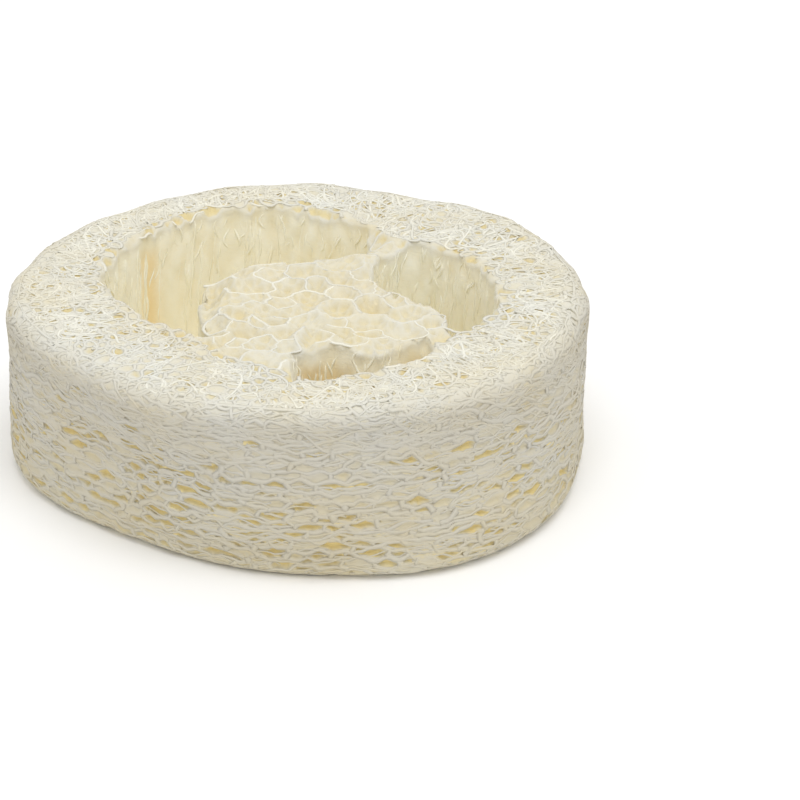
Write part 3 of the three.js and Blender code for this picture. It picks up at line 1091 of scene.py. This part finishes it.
def chamber_fibres(name, **style):
    """One piece with the fibres of all the chambers."""
    made = [fibres_down(loop, **style) for loop in chambers]
    counts = np.cumsum([0] + [part[1][-1] + 1 for part in made])
    strand = np.concatenate([part[1] + count for part, count in zip(made, counts)])
    at, _, outward, width, colours = (np.concatenate(part) for part in zip(*made))
    return swept(name, at, strand, outward, width, FIBRE_FLAT, colours)


long_fibres = {"per_mm": 2, "lengths": (3, 10), "below": (0.2, 7), "half_width": (0.12, 0.24)}
short_curls = {"per_mm": 1.2, "lengths": (0.8, 2.2), "below": (0.2, 4), "half_width": (0.08, 0.17)}
pieces += [
    chamber_fibres("chamber_fibres", **long_fibres, cover=(0.3, 0.9), curl=0.12, straw=(0.0, 0.16)),
    chamber_fibres("chamber_curls", **short_curls, cover=(-1.2, 0.4), curl=0.4, straw=(0.0, 0.06)),
]

# %% [markdown]
# Dry fibre is matt, and the finest of it is finer than any strand laid so far, so that is left to the
# finish. It takes the colour that each point carries and warms it in soft blotches. Noise that is folded at
# its middle value draws thin level lines, which with a little grain raise the surface in a slight bump. The
# colour is warmed between those lines as painted shade.

# %% The fibre's finish
WARM_AND_SHADE = (1.0, 0.95, 0.84, 1)  # what a blotch, and painted shade between the raised lines, multiply the fibre's colour by
BLOTCHES, WAVES, GRAINS = 130, 1500, 3500  # features of each noise in a metre
LEVEL = (1, 1, 3.5)  # flattens the waves, so that they run level
BUMP_STRENGTH, BUMP_HEIGHT = 0.35, 0.1 * MM
ROUGH, GRAIN_ROUGH, SHEEN = 0.75, 0.2, 0.2  # roughness, how much more in the grain, and reflection


def fibre_finish():
    finish = bpy.data.materials.new("loofah_fibre")
    finish.use_nodes = True
    nodes, link = finish.node_tree.nodes, finish.node_tree.links.new

    def node(kind, sockets, output=0, **settings):
        """The output of a new node, with the value or link of each of its sockets."""
        made = nodes.new("ShaderNode" + kind)
        for key, value in settings.items():
            setattr(made, key, value)
        for key, value in sockets.items():
            if isinstance(value, bpy.types.NodeSocket):
                link(value, made.inputs[key])
            else:
                made.inputs[key].default_value = value
        return made.outputs[output]

    def math(operation, first, second=0):
        return node("Math", {0: first, 1: second}, operation=operation)

    def weighed(base, weight, amount):
        """base + weight * amount"""
        return math("ADD", base, math("MULTIPLY", weight, amount))

    place = node("TexCoord", {}, "Object")
    colour = node("Attribute", {}, "Color", attribute_name="tint")
    level = node("VectorMath", {0: place, 1: LEVEL}, operation="MULTIPLY")
    blotch = node("TexNoise", {"Vector": place, "Scale": BLOTCHES, "Detail": 3})
    grain = node("TexNoise", {"Vector": place, "Scale": GRAINS, "Detail": 2})
    waves = node("TexNoise", {"Vector": level, "Scale": WAVES, "Detail": 3, "Distortion": 0.6})
    fibres = weighed(1, -3, math("ABSOLUTE", math("SUBTRACT", waves, 0.5)))

    # Warmer in blotches, and between the raised fibre lines as painted shade. The Mix node's sockets share
    # names, so they go by number.
    warmth_and_groove_shade = weighed(weighed(-0.2, 2, blotch), -0.5, fibres)
    warmed = node("Mix", {0: warmth_and_groove_shade, 6: colour, 7: WARM_AND_SHADE}, 2, data_type="RGBA", blend_type="MULTIPLY")
    relief = weighed(fibres, 0.3, grain)
    bump = node("Bump", {"Height": relief, "Strength": BUMP_STRENGTH, "Distance": BUMP_HEIGHT})
    shader = nodes["Principled BSDF"].inputs
    link(warmed, shader["Base Color"])
    link(weighed(ROUGH, GRAIN_ROUGH, grain), shader["Roughness"])
    link(bump, shader["Normal"])
    shader["Specular IOR Level"].default_value = SHEEN
    return finish


fibre = fibre_finish()
for piece in pieces:
    piece.data.materials.append(fibre)
    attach(piece, "root")
    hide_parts("loofah_slice")
print(len(pieces), "pieces share one finish")

# %% [markdown]
# The photograph has a white ground and soft light from above. Several lamps would cast several shadows, so
# there is one broad light overhead, a bright sky and a wide pale floor. More bounces than usual let the pale
# fibres light each other.

# %% Floor and light
FLOOR_REACH = 1.5  # metres to each side
FLOOR_TONE, FLOOR_ROUGH = (0.97, 0.97, 0.97, 1), 0.9
LIGHT_PLACE, LIGHT_SIZE, LIGHT_POWER = (0.15, -0.45, 1.6), 1.2, 11  # metres, metres, watts
SKY_TONE, SKY_STRENGTH = (1, 1, 1, 1), 0.8
BOUNCES = 12


def plain_floor():
    mesh = bpy.data.meshes.new("floor")
    corners = [(x * FLOOR_REACH, y * FLOOR_REACH, 0) for x, y in ((-1, -1), (1, -1), (1, 1), (-1, 1))]
    mesh.from_pydata(corners, [], [(0, 1, 2, 3)])
    floor = bpy.data.objects.new("floor", mesh)
    finish = bpy.data.materials.new("pale_floor")
    finish.use_nodes = True
    sockets = finish.node_tree.nodes["Principled BSDF"].inputs
    sockets["Base Color"].default_value = FLOOR_TONE
    sockets["Roughness"].default_value = FLOOR_ROUGH
    mesh.materials.append(finish)
    bpy.context.scene.collection.objects.link(floor)
    return floor


def overhead_light():
    lamp = bpy.data.lights.new("overhead", "AREA")
    lamp.shape = "DISK"
    lamp.size = LIGHT_SIZE
    lamp.energy = LIGHT_POWER
    light = bpy.data.objects.new("overhead", lamp)
    light.location = LIGHT_PLACE
    light.rotation_euler = (-Vector(LIGHT_PLACE)).to_track_quat("-Z", "Y").to_euler()
    bpy.context.scene.collection.objects.link(light)


plain_floor()
overhead_light()
world = bpy.data.worlds.new("pale_sky")
world.use_nodes = True
world.node_tree.nodes["Background"].inputs["Color"].default_value = SKY_TONE
world.node_tree.nodes["Background"].inputs["Strength"].default_value = SKY_STRENGTH
bpy.context.scene.world = world
bpy.context.scene.view_settings.view_transform = "Standard"
bpy.context.scene.cycles.diffuse_bounces = BOUNCES
print("floor, light and sky are set")
